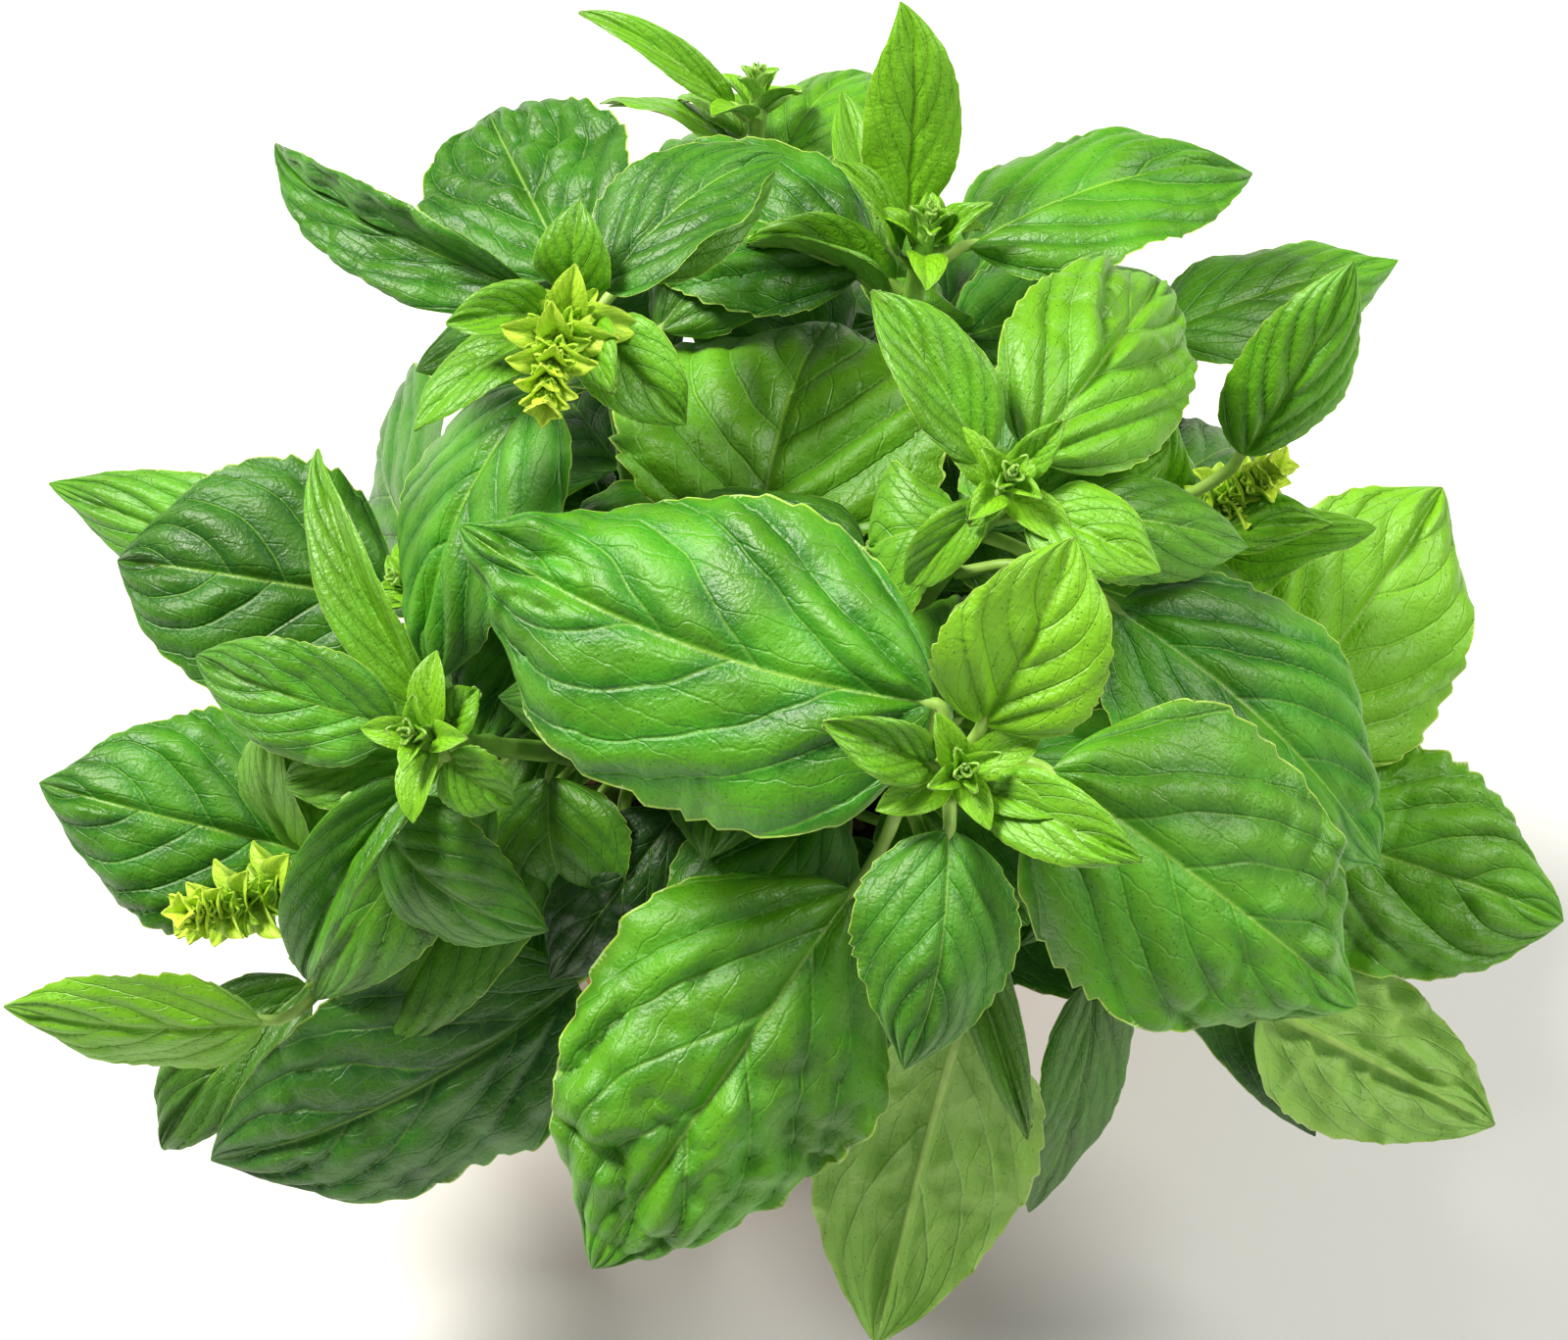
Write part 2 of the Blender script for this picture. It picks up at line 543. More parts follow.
def leaf_material(name, dark, light, young, deep, vein, margin, roughness, relief):
    """Leaf skin. Veins follow the blade's own map; blotches, cells and glands are in true size."""
    skin = new_material(name)
    place = add_node(skin, "TexCoord").outputs["Object"]
    parts = add_node(skin, "SeparateXYZ", (add_node(skin, "UVMap", uv_map="blade"),))
    across = add_node(skin, "Math", (parts.outputs[1], 2.0, -1.0), operation="MULTIPLY_ADD")
    outward = add_node(skin, "Math", (across,), operation="ABSOLUTE")
    # The same count of side veins as vein_phase gives the shape.
    half = add_node(skin, "Math", (across, 0.0), operation="GREATER_THAN")
    stagger = add_node(skin, "Math", (half, VEIN_STAGGER), operation="MULTIPLY")
    forward = add_node(skin, "Math", (parts.outputs[0], stagger), operation="ADD")
    slant = add_node(skin, "Math", (outward, VEIN_SLANT), operation="MULTIPLY")
    square = add_node(skin, "Math", (outward, 2.0), operation="POWER")
    lag = add_node(skin, "Math", (square, VEIN_CURVE, slant), operation="MULTIPLY_ADD")
    start = add_node(skin, "Math", (forward, lag), operation="SUBTRACT")
    distance = add_node(skin, "Math", (start,), operation="ABSOLUTE")
    fanned = add_node(skin, "Math", (distance, VEIN_FAN), operation="POWER")
    sign = add_node(skin, "Math", (start,), operation="SIGN")
    density = add_node(skin, "Math", (sign, VEIN_COUNT * (1 + OUTER_VEINS) / 2,
                                      VEIN_COUNT * (1 - OUTER_VEINS) / 2),
                       operation="MULTIPLY_ADD")
    phase = add_node(skin, "Math", (fanned, density), operation="MULTIPLY")
    from_vein = add_node(skin, "Math", (phase, 0.5), operation="PINGPONG")
    # Cross veins between the side veins, wandering a little.
    wander = add_node(skin, "TexNoise", {"Vector": place, "Scale": 1 / (6 * MM)})
    rungs = add_node(skin, "Math", (outward, RUNG_COUNT, wander), operation="MULTIPLY_ADD")
    from_rung = add_node(skin, "Math", (rungs, 0.5), operation="PINGPONG")
    blotch = add_node(skin, "TexNoise", {
        "Vector": place, "Scale": 1 / (14 * MM), "Detail": 3.0, "Roughness": 0.55})
    wrinkle = add_node(skin, "TexNoise", {
        "Vector": place, "Scale": 1 / (2.6 * MM), "Detail": 4.0, "Roughness": 0.6})
    bend = add_node(skin, "TexNoise", {"Vector": place, "Scale": 1 / (2.2 * MM), "Detail": 2.0})
    bent = add_node(skin, "VectorMath", (bend.outputs["Color"], (1.7 * MM,) * 3, place),
                    operation="MULTIPLY_ADD")
    cells = add_node(skin, "TexVoronoi", {"Vector": bent, "Scale": 1 / (2.3 * MM)},
                     feature="DISTANCE_TO_EDGE").outputs["Distance"]
    glands = add_node(skin, "TexVoronoi", {"Vector": place, "Scale": 1 / (1.1 * MM)})
    grain = add_node(skin, "TexNoise", {"Vector": place, "Scale": 1 / (0.5 * MM), "Detail": 2.0})
    youth = add_node(skin, "Attribute", attribute_name="youth").outputs["Fac"]
    shade = add_node(skin, "Attribute", attribute_name="shade").outputs["Fac"]
    tissue = lay_colours(skin, dark, (
        (blotch, (0.35, 0.68, 0.0, 1.0), light), (youth, None, young),
        (from_vein, (0.04, 0.38, 0.0, 0.22), young), (shade, None, deep),
        (cells, (0.0, 0.07, 0.06, 0.0), vein), (from_vein, (0.0, 0.05, 0.2, 0.0), vein),
        (outward, (0.002, 0.018, 0.5, 0.0), vein), (outward, (0.98, 0.996, 0.0, 0.7), margin),
        (glands.outputs["Distance"], (0.09, 0.19, 0.6, 0.0), deep)))
    height = add_node(skin, "Math", (grain, 0.5, wrinkle), operation="MULTIPLY_ADD")
    for line, reach, rise in ((from_vein, 0.07, 0.75), (from_rung, 0.07, 0.35),
                              (cells, 0.2, 0.14)):
        shoulder = add_node(skin, "MapRange", (line, 0.0, reach, 0.0, rise * relief),
                            interpolation_type="SMOOTHSTEP")
        height = add_node(skin, "Math", (height, shoulder), operation="ADD")
    finish_material(skin, {
        "Base Color": tissue,
        "Roughness": add_node(skin, "Math", (blotch, 0.3, roughness - 0.15),
                              operation="MULTIPLY_ADD"),
        "Normal": add_node(skin, "Bump", {
            "Strength": 0.7, "Distance": 0.35 * MM, "Height": height}),
        "Subsurface Weight": 0.14, "Subsurface Radius": (0.5, 1.0, 0.15),
        "Subsurface Scale": 1.6 * MM, "Specular IOR Level": 0.5})
    return skin


# Upper skin: waxy cuticle over deep green tissue, with a soft gloss.
leaf_upper = leaf_material("waxy_leaf_upper", dark="#1a6002", light="#388a06", young="#7eba14",
                           deep="#0b3801", vein="#9cc84c", margin="#b8dc50",
                           roughness=0.46, relief=1.0)
# Under skin: no gloss, paler, the veins stand up and are paler still.
leaf_under = leaf_material("matt_leaf_under", dark="#659a34", light="#80b146", young="#9ac455",
                           deep="#47782a", vein="#c2da94", margin="#b9d484",
                           roughness=0.55, relief=-1.0)


# Leaf stalks and the ribs under the blades: paler and yellower than the stems.
pale_rib = new_material("pale_leaf_stalk")
rib_noise = add_node(pale_rib, "TexNoise", {
    "Vector": add_node(pale_rib, "TexCoord").outputs["Object"], "Scale": 1 / (5 * MM),
    "Detail": 3.0})
finish_material(pale_rib, {
    "Base Color": lay_colours(pale_rib, "#7aa636", (
        (rib_noise, (0.3, 0.7, 0.0, 1.0), "#a2c45c"),)),
    "Roughness": 0.5, "Subsurface Weight": 0.2, "Subsurface Radius": (0.6, 1.0, 0.3),
    "Subsurface Scale": 1.2 * MM})


def outline(along):
    """Half-width of an egg-shaped blade, 1 at its widest."""
    shape = np.clip(along, 0, 1) ** 0.5 * np.clip(1 - along, 0, 1) ** 0.8
    return shape / (0.385 ** 0.5 * 0.615 ** 0.8)


def rows_to_blade(start, rows, tip, upward):
    """Fits smooth curves to a coarse blade: its midrib, and how it spreads at each column."""
    sides = np.array([row - row[2] for row in rows])
    middles = np.array([start, *(row[2] for row in rows), tip])
    along, length = along_points(middles)
    spread = sides / outline(along[1:-1])[:, None, None]
    return {"start": start, "tip": tip, "length": length, "upward": upward,
            "midrib": np.polyfit(along, middles, 6),
            "columns": np.polyfit(along[1:-1], spread.reshape(len(rows), -1), 3),
            "width": 2 * np.linalg.norm(spread[:, 4] - spread[:, 2], axis=-1).mean()}


def blade_points(blade, along, across):
    """The smooth blade at a grid of places: along is one value a row, across a full grid."""
    middle = polynomial(blade["midrib"], along)
    columns = polynomial(blade["columns"], along).reshape(len(along), 5, 3)
    drip = 1 - 0.22 * np.clip((along - 0.76) / 0.24, 0, 1) ** 2
    spread = (outline(along) * drip)[:, None] * np.ones_like(across)
    total = np.zeros(across.shape + (3,))
    for j in (0, 1, 3, 4):
        weight = np.ones_like(across)
        for k in range(5):
            if k != j:
                weight = weight * (across - COLUMNS[k]) / (COLUMNS[j] - COLUMNS[k])
        total += weight[..., None] * columns[:, j][:, None, :]
    return middle[:, None, :] + spread[..., None] * total


def surface_normals(points, like=None):
    normal = unit(np.cross(np.gradient(points, axis=1), np.gradient(points, axis=0)))
    if like is not None:
        normal *= np.sign((normal * like).sum(-1, keepdims=True))
    return normal


def grid_quads(index):
    """Four-sided faces over a grid of corner numbers."""
    quads = np.stack([index[:-1, :-1], index[:-1, 1:], index[1:, 1:], index[1:, :-1]], -1)
    return quads.reshape(-1, 4)


def groove_depth(width):
    """How far the midrib lies under the skin beside it, for a leaf of this width."""
    return 0.25 + 0.014 * width


def make_blade(blade, seed, rows, half_columns, puff, crumple, ruffle, roll, teeth):
    """Corners, faces, map and skin of one closed blade: 0 is the upper skin, 1 the under."""
    # The grid: closer rows and columns where the blade bends most.
    ease = np.linspace(0, 1, rows + 1)
    along = ease - 0.05 * np.sin(2 * math.pi * ease)
    along[0], along[-1] = 0.004, 0.997
    span = np.linspace(-1, 1, 2 * half_columns + 1)
    across = span * (0.75 + 0.25 * np.abs(span))
    grid_along, grid_across = np.meshgrid(along, across, indexing="ij")
    outward = np.abs(grid_across)
    side = np.where(grid_across > 0, 1.0, -1.0)
    length, width = blade["length"] / MM, blade["width"] / MM
    side_mm = grid_across * outline(grid_along) * width / 2
    length_mm = grid_along * length
    # Veins wander a little, and the margin is cut into shallow saw teeth.
    mapped = grid_along + 0.03 * noise_field(seed + 8, length_mm, side_mm, 15.0)
    mapped += 0.012 * noise_field(seed + 10, length_mm, side_mm, 5.0)
    count = np.mod(TEETH * grid_along + 0.7 * noise_field(
        seed + 9, grid_along, side * 2, 0.15), 1.0)
    tooth = np.where(count < 0.8, count / 0.8, (1 - count) / 0.2) - 0.5
    tooth *= 0.4 + 0.6 * np.clip(1 + noise_field(seed + 4, grid_along, side * 3, 0.2), 0, 2)
    uneven = 0.045 * noise_field(seed + 5, grid_along, side * 3, 0.22)
    reach = 1 + outward ** 3 * (teeth * tooth + uneven)
    surface = blade_points(blade, along, grid_across * reach)
    normal = surface_normals(surface)
    if normal.mean((0, 1)) @ blade["upward"] < 0:
        normal = -normal
    fade = np.clip((1 - grid_along) / 0.1, 0, 1) * np.clip(grid_along / 0.06, 0, 1)
    # Cushions between the side veins, each of its own height, with cross veins over them.
    phase = vein_phase(mapped, grid_across)
    cushion = np.abs(np.sin(math.pi * phase)) ** 0.72
    gains = np.random.default_rng(seed + 11).uniform(0.15, 1.3, (2, 40))
    gain = gains[(side > 0).astype(int), np.floor(phase).astype(int) + 20]
    swell = cushion * np.clip(outward / 0.13, 0, 1) ** 0.8 * (1 - 0.6 * outward ** 3)
    swell *= gain * (1 + 0.5 * noise_field(seed, length_mm, side_mm, 11.0))
    height = puff * swell
    rung = np.abs(np.sin(math.pi * (side_mm / 4.3 + 1.3 * noise_field(
        seed + 6, length_mm, side_mm, 5.0)))) ** 0.7
    height += 0.1 * puff * rung * cushion
    # The midrib's groove, then slow swellings, crumples, the wavy edge and the rolled margin.
    height -= groove_depth(width) * np.exp(-(side_mm / (0.4 + 0.016 * width)) ** 2)
    beside_rib = np.clip(outward / 0.12, 0, 1)
    height += 0.35 * puff * beside_rib * noise_field(seed + 1, length_mm, side_mm, 7.0)
    height += 0.022 * width * outward * noise_field(seed + 12, length_mm, side_mm, 17.0)
    depth, where, spread = crumple
    crease = np.abs(noise_field(seed + 2, length_mm, side_mm, 7.0)) ** 0.6
    blister = crease - 0.6 + 0.35 * noise_field(seed + 7, length_mm, side_mm, 3.5)
    height += depth * blister * beside_rib * np.exp(-((grid_along - where) / spread) ** 2)
    wave = np.sin(2 * math.pi * (grid_along * 2.1 + (seed % 7) / 7 + 0.3 * (grid_across > 0)))
    wave = wave + 0.7 * noise_field(seed + 3, length_mm, side_mm, 12.0)
    height += ruffle * outward ** 2.5 * wave
    height -= roll * outward ** 2.6
    # Two skins that share their outer edge, closed by a point at the stalk and at the tip.
    top = surface + normal * (height * fade)[..., None] * MM
    turned = surface_normals(top, normal)
    thin = BLADE_THICKNESS * np.clip((1 - outward) * 8, 0, 1) * np.clip(grid_along / 0.03, 0.1, 1)
    bottom = top - turned * thin[..., None]
    row_count, column_count = len(along), len(across)
    top_index = np.arange(row_count * column_count).reshape(row_count, column_count)
    inner = column_count - 2
    under_index = top_index.copy()
    under_index[:, 1:-1] = (row_count * column_count
                            + np.arange(row_count * inner).reshape(row_count, inner))
    base, tip = row_count * (column_count + inner), row_count * (column_count + inner) + 1
    corners = np.concatenate([top.reshape(-1, 3), bottom[:, 1:-1].reshape(-1, 3),
                              [blade["start"], blade["tip"]]])
    places = np.stack([mapped, (grid_across + 1) / 2], -1)
    maps = np.concatenate([places.reshape(-1, 2), places[:, 1:-1].reshape(-1, 2),
                           [[0, 0.5], [1, 0.5]]])
    faces, skins = [], []
    for index, skin in ((top_index, 0), (under_index, 1)):
        quads = grid_quads(index)
        caps = [[base, index[0, c + 1], index[0, c]] for c in range(column_count - 1)]
        caps += [[tip, index[-1, c], index[-1, c + 1]] for c in range(column_count - 1)]
        caps = np.array(caps)
        if skin:
            quads, caps = quads[:, ::-1], caps[:, ::-1]
        faces += quads.tolist() + caps.tolist()
        skins += [skin] * (len(quads) + len(caps))
    return corners, faces, maps, skins


def hermite(start, start_way, finish, finish_way, steps):
    t = np.linspace(0, 1, steps)[:, None]
    return ((2 * t ** 3 - 3 * t ** 2 + 1) * start + (t ** 3 - 2 * t ** 2 + t) * start_way
            + (3 * t ** 2 - 2 * t ** 3) * finish + (t ** 3 - t ** 2) * finish_way)


def stalk_and_rib(blade, root, leave, radius):
    """The stalk from the stem to the blade, carried on under the blade as its midrib."""
    into = unit(polynomial(blade["midrib"], [0.06])[0] - blade["start"])
    gap = np.linalg.norm(blade["start"] - root)
    stalk = hermite(root, leave * gap, blade["start"], into * gap, 12)
    shares = np.linspace(0.05, 0.93, 22)
    rib = polynomial(blade["midrib"], shares)
    columns = polynomial(blade["columns"], shares).reshape(-1, 5, 3)
    away = unit(np.cross(columns[:, 4] - columns[:, 0], np.gradient(rib, axis=0)))
    away *= np.sign(away @ blade["upward"])[:, None]
    sunk = (0.6 - 0.45 * shares) * radius + BLADE_THICKNESS + groove_depth(blade["width"] / MM) * MM
    path = np.concatenate([stalk[:-1], rib - away * sunk[:, None]])
    radii = np.concatenate([np.linspace(1.2, 1.0, 11), np.linspace(0.95, 0.22, 22)]) * radius
    return rod(path, radii, 8)


def leaf_parts(blade, root, leave, seed, detail, youth, shade, puff, ruffle, roll,
               crumple=(0, 0.5, 0.3), teeth=0.045, stalk_radius=0.9 * MM):
    """One whole leaf, blade and stalk, ready to be joined with others into a piece."""
    corners, faces, maps, skins = make_blade(blade, seed, *detail, puff, crumple, ruffle, roll,
                                             teeth)
    stalk, stalk_faces = stalk_and_rib(blade, root, leave, stalk_radius)
    moved = [[len(corners) + corner for corner in face] for face in stalk_faces]
    maps = np.concatenate([maps, np.full((len(stalk), 2), 0.5)])
    corners = np.concatenate([corners, stalk])
    tones = np.tile([youth, shade], (len(corners), 1))
    return corners, faces + moved, maps, skins + [2] * len(moved), tones


def leaf_piece(name, parts, upper=leaf_upper, under=leaf_under):
    """Builds one object from one or more leaves; the two skins meet in a crisp margin."""
    corners, faces, maps, skins, tones = [], [], [], [], []
    count = 0
    for part in parts:
        corners.append(part[0])
        faces += [[count + corner for corner in face] for face in part[1]]
        maps.append(part[2])
        skins += part[3]
        tones.append(part[4])
        count += len(part[0])
    maps, tones = np.concatenate(maps), np.concatenate(tones)
    piece = build_mesh(name, np.concatenate(corners), faces, (upper, under, pale_rib), skins)
    mesh = piece.data
    layer = mesh.uv_layers.new(name="blade")
    loops = np.zeros(len(mesh.loops), np.int32)
    mesh.loops.foreach_get("vertex_index", loops)
    layer.data.foreach_set("uv", maps.astype(np.float32)[loops].ravel())
    for column, tone in enumerate(("youth", "shade")):
        attribute = mesh.attributes.new(tone, "FLOAT", "POINT")
        attribute.data.foreach_set("value", tones[:, column].astype(np.float32))
    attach(piece, "root")
    return piece


def blade_of(name):
    """Reads a leaf solid from the frame: its coarse blade, and where its stalk starts."""
    layers = leaf_layers[name]
    root, neck, tip = layers[0][0], layers[2].mean(0), layers[-1][0]
    rings = layers[3:-1]
    centres = [neck] + [ring.mean(0) for ring in rings] + [tip]
    reference = rings[3].mean(0) - HEART
    if name in TURNED_OVER:
        reference = -reference
    rows = [None] * len(rings)
    for order in (range(3, len(rings)), range(2, -1, -1)):
        for r in order:
            ring = rings[r]
            gaps = np.linalg.norm(ring[:, None] - ring[None], axis=-1)
            i, j = np.unravel_index(gaps.argmax(), gaps.shape)
            chord = unit(ring[j] - ring[i])
            up = unit(np.cross(chord, centres[r + 2] - centres[r]))
            if up @ reference < 0:
                up, chord, i, j = -up, -chord, j, i
            if r == 3:
                upward = up
            reference = up
            others = sorted(set(range(8)) - {i, j}, key=lambda k: (ring[k] - ring[i]) @ chord)
            upper = [max(others[k:k + 2], key=lambda k: ring[k] @ up) for k in (0, 2, 4)]
            rows[r] = ring[[i, *upper, j]]
        reference = upward
    return rows_to_blade(neck, rows, tip, upward), root, unit(layers[1].mean(0) - root)


# Rows along a blade, and columns to each side of its midrib.
BIG, MIDDLE, SMALL, TINY = (104, 24), (72, 17), (46, 11), (14, 5)
# How deep, how far along and over what share of its length a leaf is crumpled.
CRUMPLED = {"leaf_front_1": (3.4, 0.86, 0.15), "leaf_front_7": (3.4, 0.62, 0.3),
            "leaf_middle_1": (2.2, 0.85, 0.16), "leaf_front_6": (2.2, 0.74, 0.24),
            "leaf_back_3": (1.6, 0.5, 0.4), "leaf_middle_2": (1.2, 0.6, 0.4),
            "leaf_left_2": (2.0, 0.5, 0.4), "leaf_left_front_1": (1.4, 0.4, 0.4),
            "leaf_front_9": (1.6, 0.55, 0.3), "leaf_right_low_3": (3.4, 0.5, 0.4),
            "leaf_right_low_2": (2.2, 0.5, 0.3), "leaf_centre_2": (2.0, 0.5, 0.4),
            "leaf_left_5": (3.0, 0.6, 0.4), "leaf_left_front_6": (1.6, 0.5, 0.3)}
EVEN = (0.4, 0.6, 0.3)
# Youth and shade of the leaves that don't go by size and height.
TONES = {"leaf_far_left_3": (0.7, 0.0), "leaf_right_low_1": (0.7, 0.0),
         "leaf_front_9": (0.6, 0.0), "leaf_right_low_3": (0.5, 0.0), "leaf_centre_1": (0.3, 0.0),
         "leaf_left_mid_1": (0.0, 0.5), "leaf_centre_2": (0.0, 0.9), "leaf_left_1": (0.0, 0.4),
         "leaf_front_7": (0.15, 0.0), "leaf_front_1": (0.0, 0.0), "leaf_front_2": (0.85, 0.0),
         "leaf_left_2": (0.0, 0.3), "leaf_front_5": (0.05, 0.3), "leaf_back_1": (0.7, 0.0),
         "leaf_left_5": (0.0, 0.45), "leaf_back_3": (0.0, 0.3), "leaf_middle_2": (0.4, 0.0),
         "leaf_front_6": (0.15, 0.0), "leaf_right_low_2": (0.3, 0.1), "leaf_back_2": (0.1, 0.1),
         "leaf_left_front_1": (0.1, 0.1), "leaf_far_left_2": (0.0, 0.25),
         "leaf_left_front_5": (0.1, 0.2), "leaf_left_front_4": (0.1, 0.25)}


def detail_for(width):
    return BIG if width > 27 else MIDDLE if width > 16 else SMALL


def habit(seed, width, height):
    """How a leaf of this width grows: swelling, waviness, rolled margin, youth and shade."""
    draw = np.random.default_rng(seed + 500).uniform(0, 1, 5)
    return {"puff": (0.1 + 0.034 * width) * (0.5 + 0.8 * draw[0]),
            "ruffle": 0.028 * width * (0.6 + 0.8 * draw[1]),
            "roll": 0.06 * width * (0.4 + 1.2 * draw[2]),
            "youth": float(np.clip((30 - width) / 42 + 0.2 * (draw[3] - 0.5), 0.0, 0.5)),
            "shade": float(np.clip((114 - height) / 70 + 0.3 * (draw[4] - 0.5), 0.0, 0.7))}


obstacles = []


def shells(blade, gap):
    """The blade as thin test surfaces, on and to both sides of it, that others must not cross."""
    along = np.linspace(0.02, 0.99, 15)
    across = np.tile(np.linspace(-1, 1, 9), (15, 1))
    points = blade_points(blade, along, across)
    normal = surface_normals(points)
    quads = grid_quads(np.arange(135).reshape(15, 9))
    corners = np.concatenate([points.reshape(-1, 3) + normal.reshape(-1, 3) * shift
                              for shift in (-gap, 0, gap)])
    faces = np.concatenate([quads, quads + 135, quads + 270])
    return corners, BVHTree.FromPolygons(corners.tolist(), faces.tolist())


def remember(corners, tree):
    obstacles.append((corners.min(0), corners.max(0), tree))


crown = []
for order, leaf_name in enumerate(leaf_names):
    blade, root, leave = blade_of(leaf_name)
    width = blade["width"] / MM
    middle = polynomial(blade["midrib"], [0.5])[0]
    seed = 11 * order + 3
    manner = habit(seed, width, middle[2] / MM)
    manner["youth"], manner["shade"] = TONES.get(leaf_name, (manner["youth"], manner["shade"]))
    part = leaf_parts(blade, root, leave, seed, detail_for(width),
                      crumple=CRUMPLED.get(leaf_name, EVEN), **manner)
    piece = leaf_piece(leaf_name + "_blade", [part])
    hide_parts(leaf_name)
    remember(*shells(blade, 0.0))
    crown.append(blade_points(blade, np.linspace(0.1, 0.98, 12),
                              np.tile([-1.0, 0.0, 1.0], (12, 1))).reshape(-1, 3))
crown = np.concatenate(crown)


# ---- Lesser leaves --------------------------------------------------------------------------
# Small leaves that fill the shoots between the main ones. Each list entry gives the stem, how
# far under its tip the stalk joins, the leaf's point, its width, arch, cup and fold.

BLADE_ARCH = 1.2


def shaped_blade(neck, tip, width, arch, face, cup=0.0, fold=0.0):
    """A blade from its neck to its tip: a bowed midrib, with its halves curved or folded up."""
    neck, tip, face = (np.asarray(place, float) for place in (neck, tip, unit(face)))
    chord = tip - neck
    bow = BLADE_ARCH * arch * unit(face - chord * (face @ chord) / (chord @ chord))
    control = np.array([neck, neck + 0.3 * chord + bow, tip - 0.3 * chord + bow, tip])
    t = ROWS[:, None]
    middles = ((1 - t) ** 3 * control[0] + 3 * (1 - t) ** 2 * t * control[1]
               + 3 * (1 - t) * t ** 2 * control[2] + t ** 3 * control[3])
    ways = unit((1 - t) ** 2 * (control[1] - control[0])
                + 2 * (1 - t) * t * (control[2] - control[1]) + t ** 2 * (control[3] - control[2]))
    beside = unit(np.cross(ways, face))
    above = np.cross(beside, ways)
    half = 0.5 * width * outline(ROWS)[:, None]
    bend = math.radians(cup) if abs(cup) > 1 else 0.017
    turn = bend * np.abs(COLUMNS)[None]
    flat, high = half * np.sin(turn) / bend, half * (1 - np.cos(turn)) / bend
    lean = math.radians(fold)
    x = np.sign(COLUMNS) * (flat * math.cos(lean) - high * math.sin(lean))
    z = flat * math.sin(lean) + high * math.cos(lean)
    rows = middles[:, None] + beside[:, None] * x[..., None] + above[:, None] * z[..., None]
    return rows_to_blade(neck, list(rows), tip, above[3])


def stem_place(stem, below):
    """The point and the direction of a stem, some way below its tip."""
    share = 1 - below / stem["length"]
    points = polynomial(stem["curve"], [share, share + 0.01])
    return points[0], unit(points[1] - points[0])


LESSER = [
    ("middle", 16, (54, -13, 178), 15, -5, 30, 0),
    ("middle", 7, (25, -33, 187), 5, 2, 0, 20),
    ("middle", 9, (17, -33, 172), 8, 3, 0, 18),
    ("middle", 8, (38, -22, 196), 6, 1, 0, 25),
    ("back", 12, (7, 42, 172), 8, 3, 0, 20),
    ("back", 20, (-6, 37, 158), 13, 4, 0, 58),
    ("back", 9, (31, 37, 168), 6, 2, 0, 20),
    ("far_back", 14, (-17, 87, 131), 9, 3, 0, 18),
    ("far_back", 20, (14, 95, 128), 20, 5, -12, 0),
    ("right", 30, (57, 12, 150), 12, 4, 0, 16),
    ("right", 26, (80, -8, 150), 12, 4, 0, 16),
    ("right", 34, (88, -2, 140), 16, 5, -10, 0),
    ("front", 56, (36, -81, 96), 12, 3, 0, 40),
    ("front", 12, (36, -76, 182), 6, 2, 0, 20),
    ("left", 28, (-29, 22, 188), 12, 4, 0, 10),
    ("left", 24, (-48, 6, 180), 10, 3, 0, 24),
    ("left", 22, (-24, -6, 180), 10, 3, 0, 20),
    ("right_low", 30, (84, -60, 54), 24, 4, -12, 0),
    ("left_front", 34, (-70, -60, 100), 22, 6, -10, 0),
    ("left", 27, (-14, -3, 168), 14, 4, 0, 12),
    ("left", 84, (-38, 52, 102), 34, 4, -12, 0),
    ("middle", 24, (12, -22, 164), 20, 5, -14, 0),
    ("middle", 26, (32, -6, 160), 18, 5, -14, 0),
    ("left_front", 44, (-30, -48, 106), 26, 6, -12, 0),
    ("left_front", 52, (-62, -66, 92), 24, 6, -12, 0),
    ("left_front", 66, (-43, -54, 86), 24, 3, -10, 0),
    ("front", 74, (36, -56, 116), 22, 5, -10, 0),
    ("back", 26, (22, 40, 146), 16, 4, -12, 0),
    ("far_left", 28, (-74, -37, 142), 14, 5, 20, 0),
    ("left_front", 12, (-43, -40, 156), 8, 2, 0, 20),
    ("left_front", 20, (-72, -45, 138), 14, 4, 0, 14),
]
lesser_parts = {}
for order, (name, below, tip, width, arch, cup, fold) in enumerate(LESSER):
    stem = stems[name]
    axis, heading = stem_place(stem, below * MM)
    tip = np.array(tip) * MM
    out = tip - axis
    reach = np.linalg.norm(out)
    out = unit(out - heading * (out @ heading))
    root = axis + out * 1.2 * MM
    neck = root + 0.12 * reach * unit(out + 0.6 * heading)
    face = unit(0.6 * unit(0.5 * (neck + tip) - HEART) + 0.6 * heading + np.array((0, -0.15, 0.3)))
    blade = shaped_blade(neck, tip, width * MM, arch * MM, face, cup, fold)
    seed = 37 * order + 9
    part = leaf_parts(blade, root, unit(out + 0.3 * heading), seed, SMALL, teeth=0.035,
                      stalk_radius=0.6 * MM, **habit(seed, width, tip[2] / MM))
    lesser_parts.setdefault(name, []).append(part)
    remember(*shells(blade, 0.0))
for name, parts in lesser_parts.items():
    leaf_piece("lesser_leaves_" + name, parts)


# ---- Undergrowth ----------------------------------------------------------------------------
# Older, darker leaves lower on the stems, in crossed pairs. Each takes the first lie, of several
# tried, in which it crosses nothing and stays inside the crown of the upper leaves.

crown_turn = np.arctan2(crown[:, 1], crown[:, 0])
crown_reach = np.linalg.norm(crown[:, :2], axis=1)


def crown_radius(turn):
    near = np.abs(np.angle(np.exp(1j * (crown_turn - turn)))) < 0.3
    return crown_reach[near].max() if near.any() else 0.08


